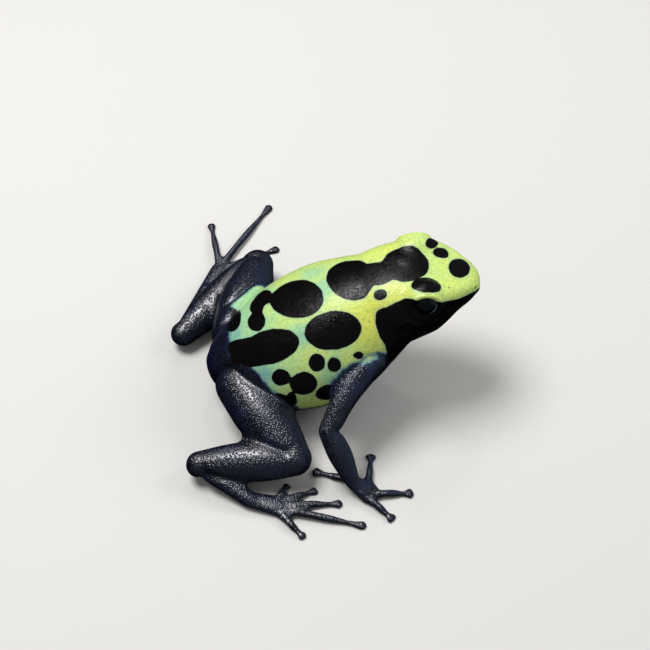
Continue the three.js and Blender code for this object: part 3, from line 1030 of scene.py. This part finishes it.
not_spot = paint.math("SUBTRACT", 1.0, is_spot)
on_leg = paint.math("MULTIPLY", paint.between(legs_at, *LEG_BEGINS), not_spot)
granular = paint.math("MULTIPLY", on_leg, paint.attribute("grain"))
grain = paint.total(GRAIN["spot"], (not_spot, GRAIN["other"]), (granular, GRAIN["leg"]))
height = paint.total(0.0, (paint.noise(*NOISE["relief"]), RELIEF), (granules, grain))
relief = {"Strength": 1.0, "Distance": GRANULE_HEIGHT, "Height": height}
bump = paint.node("ShaderNodeBump", inputs=relief).outputs[0]
rough = paint.between(paint.noise(*NOISE["gloss"]), *ROUGH_SPAN)
rough = paint.total(rough, (is_spot, SPOT_SMOOTHER))
wet = paint.total(WET["spot"], (not_spot, WET["other"]), (granular, WET["leg"]))
paint.set(Base_Color=colour, Roughness=rough, Coat_Weight=wet, Normal=bump, Coat_Normal=bump)
paint.set(Specular_IOR_Level=0.17, Coat_Roughness=0.35, Coat_IOR=1.75)
skin_piece.data.materials.append(paint.material)
print("frog_skin:", len(paint.nodes), "nodes")

# %% [markdown]
# ## The eye's finish
# The eye is the wettest part of the frog: a black pupil in a dark brown iris, under a clear
# window. It could be a glass ball over a painted one. At this size one very smooth ball looks
# the same, so its colours follow the angle from the eye's axis that its vertices keep.

# %% Pupil, iris and a painted crescent reflection
PUPIL, IRIS, IRIS_FLECK = linear(2, 2, 2), linear(9, 8, 8), linear(24, 19, 15)
IRIS_RIM, CRESCENT_REFLECTION = linear(6, 6, 7), linear(118, 134, 146)
FLECKS, FLECK_SPAN = (1800, 4), (0.4, 0.7)
PUPIL_EDGE, RIM_EDGE = (24, 26), (34, 46)

paint = Painter("wet_eye")
off_axis = paint.attribute("off_axis")
iris = paint.mix(paint.between(paint.noise(*FLECKS), *FLECK_SPAN), IRIS, IRIS_FLECK)
iris = paint.mix(paint.between(off_axis, *RIM_EDGE), iris, IRIS_RIM)
ball = paint.mix(paint.between(off_axis, *PUPIL_EDGE), PUPIL, iris)
# A pale blue crescent in the lower front corner is a painted reflection.
ball = paint.mix(paint.attribute("painted_crescent"), ball, CRESCENT_REFLECTION)
paint.set(Base_Color=ball, Roughness=0.07, Specular_IOR_Level=0.45)
for eye in eyes:
    eye.data.materials.append(paint.material)
print("wet_eye:", len(paint.nodes), "nodes")

# %% [markdown]
# ## Floor and light
# The frog stands on a plain pale floor. One broad soft light hangs over its back, a small
# one beyond it adds glints, and one in front fills the snout. Black skin shows whatever is
# mirrored in it, so the front light, the floor and the pale background would turn it grey and
# are left out of the reflections. Two wide dim bluish sheets are there for the reflections
# alone, so that the eye, the mouth and the chest keep their form from the side and the front.

# %% Floor
FLOOR_RADIUS, FLOOR_COLOUR = 0.8, (0.55, 0.54, 0.52, 1)
floor_bm = bmesh.new()
bmesh.ops.create_circle(floor_bm, cap_ends=True, segments=128, radius=FLOOR_RADIUS)
floor = bpy.data.objects.new("floor", new_mesh(floor_bm, "floor"))
bpy.context.scene.collection.objects.link(floor)
paint = Painter("pale_floor")
paint.set(Base_Color=FLOOR_COLOUR, Roughness=0.8)
floor.data.materials.append(paint.material)
floor.visible_glossy = False
print("floor:", 2 * FLOOR_RADIUS, "m across")

# %% Lights and background
FROG_MIDDLE = Vector((0, 0, 0.01))
WHITE, COOL, BACKGROUND_STRENGTH = (1, 1, 1), (0.55, 0.75, 1.0), 0.35
SHEETS = [("near_sheet", (0.10, -0.50, 0.15), 0.65), ("front_sheet", (0.50, 0.10, 0.15), 1.0)]
SHEET_SIZE = 1.4


def softbox(name, location, size, power, colour=WHITE):
    """A round soft light that faces the frog."""
    data = bpy.data.lights.new(name, "AREA")
    data.shape = "DISK"
    data.size = size
    data.energy = power
    data.color = colour
    light = bpy.data.objects.new(name, data)
    light.location = location
    light.rotation_euler = (FROG_MIDDLE - light.location).to_track_quat("-Z", "Y").to_euler()
    bpy.context.scene.collection.objects.link(light)
    return light


softbox("overhead", (-0.11, 0.07, 0.34), size=0.17, power=1.38)
softbox("far_side", (0.03, 0.22, 0.28), size=0.025, power=0.1)
front = softbox("front", (0.30, 0.06, 0.24), size=0.20, power=0.55)
front.visible_glossy = False
for name, location, power in SHEETS:
    softbox(name, location, SHEET_SIZE, power, COOL).visible_diffuse = False
world = bpy.data.worlds.new("studio")
bpy.context.scene.world = world
world.use_nodes = True
background = world.node_tree.nodes["Background"].inputs
background["Color"].default_value = (*WHITE, 1)
background["Strength"].default_value = BACKGROUND_STRENGTH
world.cycles_visibility.glossy = False
bpy.context.scene.view_settings.view_transform = "Standard"
print("lights:", [light.name for light in bpy.data.lights])
